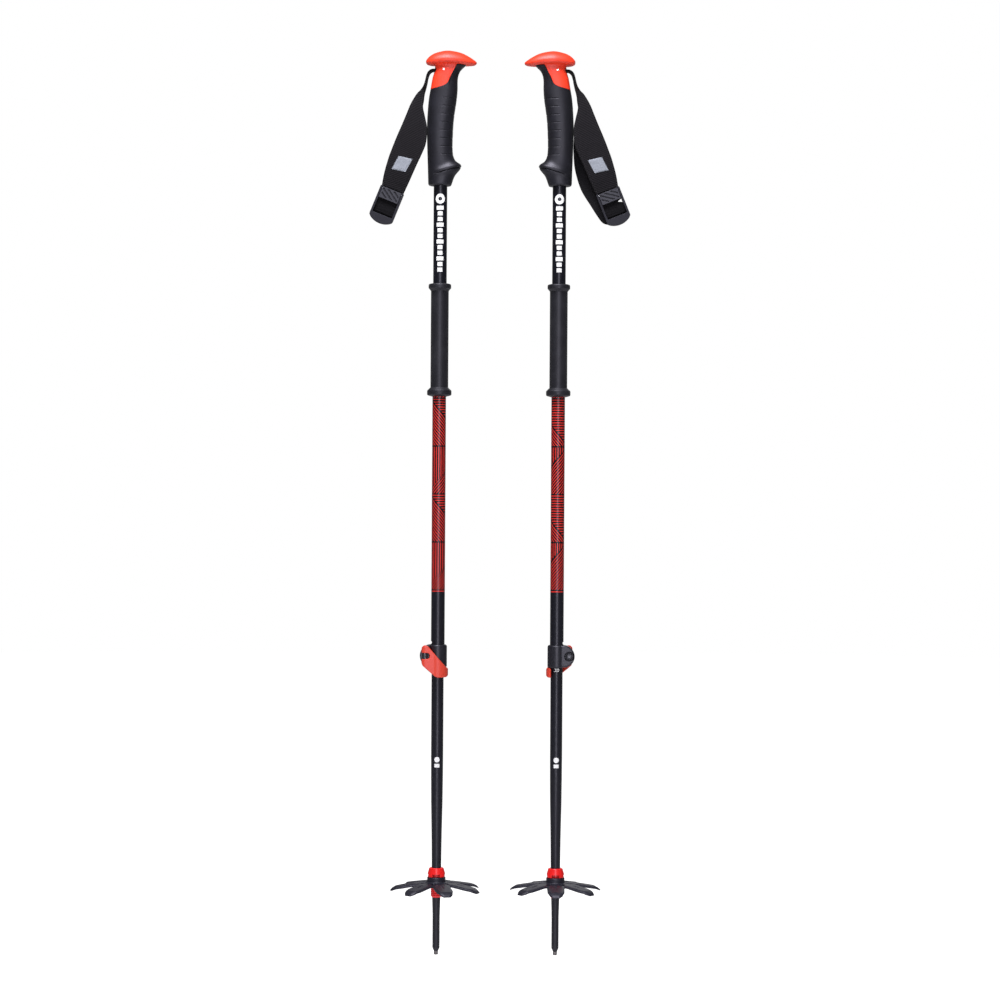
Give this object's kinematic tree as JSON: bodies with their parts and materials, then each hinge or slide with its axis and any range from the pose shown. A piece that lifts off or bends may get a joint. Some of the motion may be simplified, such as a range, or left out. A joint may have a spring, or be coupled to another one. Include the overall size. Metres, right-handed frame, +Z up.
{
  "type": "climbing stick set",
  "caption": "Matching telescoping climbing poles with broad T-shaped heads, ribbed grips, buckled wrist straps, lever clamps, round snow baskets and hard-metal points.",
  "frame": {"origin": "midway between the two poles, at the height of their points", "axes": "+Z up along both shafts; +X from the left pole to the right one; -Y is the side with the left pole's clamp lever and both strap buckles"},
  "size_m": [0.3456, 0.122, 1.2001],
  "materials": {
    "upper_shaft": "satin black anodised, with a printed red line pattern",
    "lower_shaft": "satin black anodised",
    "extension_rubber": "matt moulded foam rubber",
    "grip_rubber": "matt moulded rubber",
    "core_plastic": "plain",
    "head_plastic": "satin moulded",
    "bright_steel": "bright",
    "dark_steel": "dark zinc",
    "webbing": "woven nylon webbing",
    "strap_padding": "knitted cover over foam",
    "buckle_plastic": "moulded acetal",
    "clamp_plastic": "moulded nylon",
    "lever_alloy": "red orange, satin",
    "plug_plastic": "plain",
    "ferrule_plastic": "satin moulded",
    "shank_plastic": "moulded",
    "carbide": "dull hard metal",
    "basket_plastic": "moulded"
  },
  "bodies": {
    "left_upper": {"left_upper_tube": "upper_shaft", "left_grip_extension": "extension_rubber", "left_grip_core": "core_plastic", "left_grip_body": "grip_rubber", "left_grip_head": "head_plastic", "left_strap_pin": "bright_steel", "left_strap_anchor": "webbing", "left_clamp_collar": "clamp_plastic", "left_draw_bolt": "dark_steel", "left_tension_nut": "dark_steel", "left_lever_axle": "bright_steel"},
    "left_lower": {"left_lower_tube": "lower_shaft", "left_tube_plug": "plug_plastic", "left_tip_ferrule": "ferrule_plastic", "left_tip_shank": "shank_plastic", "left_carbide_tip": "carbide"},
    "left_basket": {"left_basket": "basket_plastic"},
    "left_lever": {"left_clamp_lever": "lever_alloy"},
    "left_strap": {"left_strap_neck": "webbing", "left_strap_pad": "strap_padding", "left_strap_back_web": "webbing", "left_buckle_frame": "buckle_plastic", "left_buckle_axle": "bright_steel"},
    "left_cam": {"left_buckle_cam": "buckle_plastic"},
    "right_upper": {"right_upper_tube": "upper_shaft", "right_grip_extension": "extension_rubber", "right_grip_core": "core_plastic", "right_grip_body": "grip_rubber", "right_grip_head": "head_plastic", "right_strap_pin": "bright_steel", "right_strap_anchor": "webbing", "right_clamp_collar": "clamp_plastic", "right_draw_bolt": "dark_steel", "right_tension_nut": "dark_steel", "right_lever_axle": "bright_steel"},
    "right_lower": {"right_lower_tube": "lower_shaft", "right_tube_plug": "plug_plastic", "right_tip_ferrule": "ferrule_plastic", "right_tip_shank": "shank_plastic", "right_carbide_tip": "carbide"},
    "right_basket": {"right_basket": "basket_plastic"},
    "right_lever": {"right_clamp_lever": "lever_alloy"},
    "right_strap": {"right_strap_neck": "webbing", "right_strap_pad": "strap_padding", "right_strap_back_web": "webbing", "right_buckle_frame": "buckle_plastic", "right_buckle_axle": "bright_steel"},
    "right_cam": {"right_buckle_cam": "buckle_plastic"}
  },
  "joints": [
    {"name": "poles_apart", "type": "slide", "parent": "left_upper", "child": "right_upper", "axis": [1, 0, 0], "range_m": [0, 0.25]},
    {"name": "left_length", "type": "slide", "parent": "left_upper", "child": "left_lower", "axis": [0, 0, -1], "range_m": [-0.25, 0.25]},
    {"name": "left_basket_turn", "type": "hinge", "parent": "left_lower", "child": "left_basket", "pos_m": [-0.079, 0, 0.097], "axis": [0, 0, 1], "continuous": true},
    {"name": "left_clamp_lever_swing", "type": "hinge", "parent": "left_upper", "child": "left_lever", "pos_m": [-0.0956, -0.0108, 0.397], "axis": [0, 0, -1], "range_deg": [0, 150]},
    {"name": "left_strap_swing", "type": "hinge", "parent": "left_upper", "child": "left_strap", "pos_m": [-0.0905, 0, 1.174], "axis": [0, 1, 0], "range_deg": [0, 70]},
    {"name": "left_buckle_cam_lift", "type": "hinge", "parent": "left_strap", "child": "left_cam", "pos_m": [-0.14342, -0.0091, 1.01192], "axis": [-0.9272, 0, 0.3746], "range_deg": [0, 60]},
    {"name": "right_length", "type": "slide", "parent": "right_upper", "child": "right_lower", "axis": [0, 0, -1], "range_m": [-0.25, 0.25]},
    {"name": "right_basket_turn", "type": "hinge", "parent": "right_lower", "child": "right_basket", "pos_m": [0.079, 0, 0.097], "axis": [0, 0, 1], "continuous": true},
    {"name": "right_clamp_lever_swing", "type": "hinge", "parent": "right_upper", "child": "right_lever", "pos_m": [0.0956, 0.0108, 0.397], "axis": [0, 0, -1], "range_deg": [0, 150]},
    {"name": "right_strap_swing", "type": "hinge", "parent": "right_upper", "child": "right_strap", "pos_m": [0.0905, 0, 1.174], "axis": [0, -1, 0], "range_deg": [0, 70]},
    {"name": "right_buckle_cam_lift", "type": "hinge", "parent": "right_strap", "child": "right_cam", "pos_m": [0.14342, -0.0091, 1.01192], "axis": [-0.9272, 0, -0.3746], "range_deg": [0, 60]}
  ]
}
